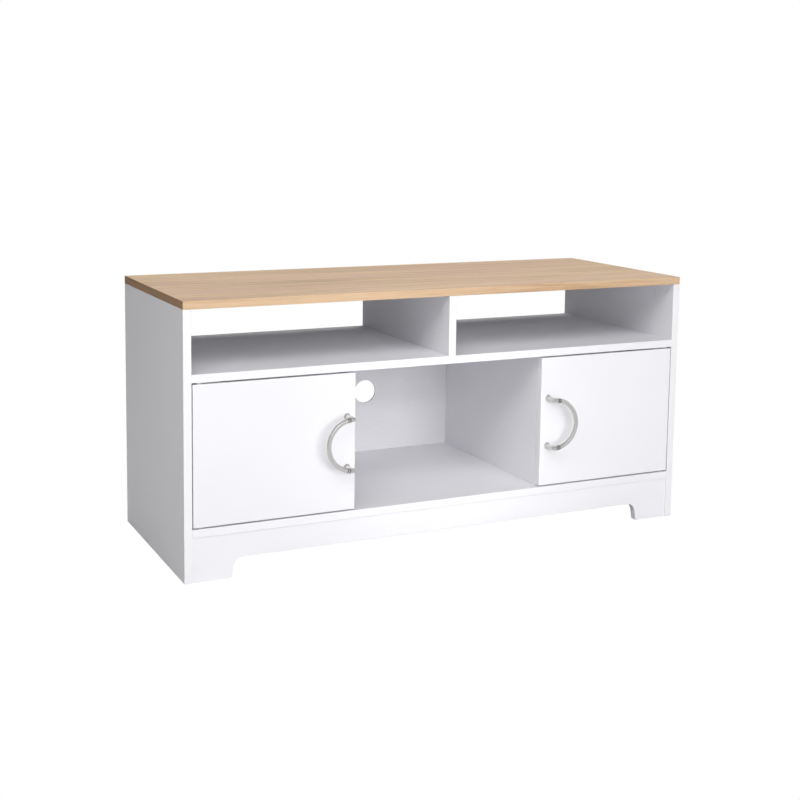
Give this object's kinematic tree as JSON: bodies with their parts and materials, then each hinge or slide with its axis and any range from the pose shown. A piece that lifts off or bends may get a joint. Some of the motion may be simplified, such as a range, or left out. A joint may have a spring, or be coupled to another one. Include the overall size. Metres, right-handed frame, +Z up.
{
  "type": "tv stand with doors",
  "caption": "Low TV stand with an oak top, open bays, a middle compartment with a cable hole, and hinged cupboard doors with arched handles.",
  "frame": {"origin": "on the floor, at the middle of the length and midway between the handles' front and the back edge", "axes": "+X along the length to the stand's own right as seen from the front, +Y from the doors to the back panel, +Z up"},
  "size_m": [1.06, 0.433, 0.506],
  "materials": {
    "oak_board": "matt oak-grain foil",
    "white_board": "white melamine on particle board",
    "back_hardboard": "white-faced hardboard, raw brown at the back",
    "satin_nickel": "satin nickel plate",
    "hinge_steel": "zinc-plated sheet steel",
    "zinc_fittings": "bright zinc",
    "magnet_steel": "dark ferrite between steel poles",
    "white_plastic": "moulded",
    "nylon": "natural nylon",
    "clear_bumper": "soft clear pad",
    "beech_dowel": "bare beech"
  },
  "bodies": {
    "root": {"top_board": "oak_board", "side_panel_left": "white_board", "side_panel_right": "white_board", "upper_shelf": "white_board", "upper_divider": "white_board", "lower_divider_left": "white_board", "lower_divider_right": "white_board", "base_shelf": "white_board", "front_apron": "white_board", "rear_rail": "white_board", "back_panel": "back_hardboard", "cam_bolts": "zinc_fittings", "cam_locks": "zinc_fittings", "cam_caps": "white_plastic", "dowels": "beech_dowel", "divider_screws": "zinc_fittings", "back_panel_nails": "zinc_fittings", "hinge_case_plates": "hinge_steel", "hinge_case_screws": "zinc_fittings", "hinge_washers": "nylon", "catch_housings": "white_plastic", "catch_magnets": "magnet_steel", "catch_screws": "zinc_fittings"},
    "door_left": {"door_left": "white_board", "hinge_door_plates_left": "hinge_steel", "hinge_door_screws_left": "zinc_fittings", "handle_left": "satin_nickel", "handle_screws_left": "zinc_fittings", "strike_plate_left": "hinge_steel", "strike_screw_left": "zinc_fittings", "door_bumpers_left": "clear_bumper"},
    "door_right": {"door_right": "white_board", "hinge_door_plates_right": "hinge_steel", "hinge_door_screws_right": "zinc_fittings", "handle_right": "satin_nickel", "handle_screws_right": "zinc_fittings", "strike_plate_right": "hinge_steel", "strike_screw_right": "zinc_fittings", "door_bumpers_right": "clear_bumper"}
  },
  "joints": [
    {"name": "left_door_hinge", "type": "hinge", "parent": "root", "child": "door_left", "pos_m": [-0.5005, -0.1775, 0.229], "axis": [0, 0, -1], "range_deg": [0, 110]},
    {"name": "right_door_hinge", "type": "hinge", "parent": "root", "child": "door_right", "pos_m": [0.5005, -0.1775, 0.229], "axis": [0, 0, 1], "range_deg": [0, 110]}
  ]
}
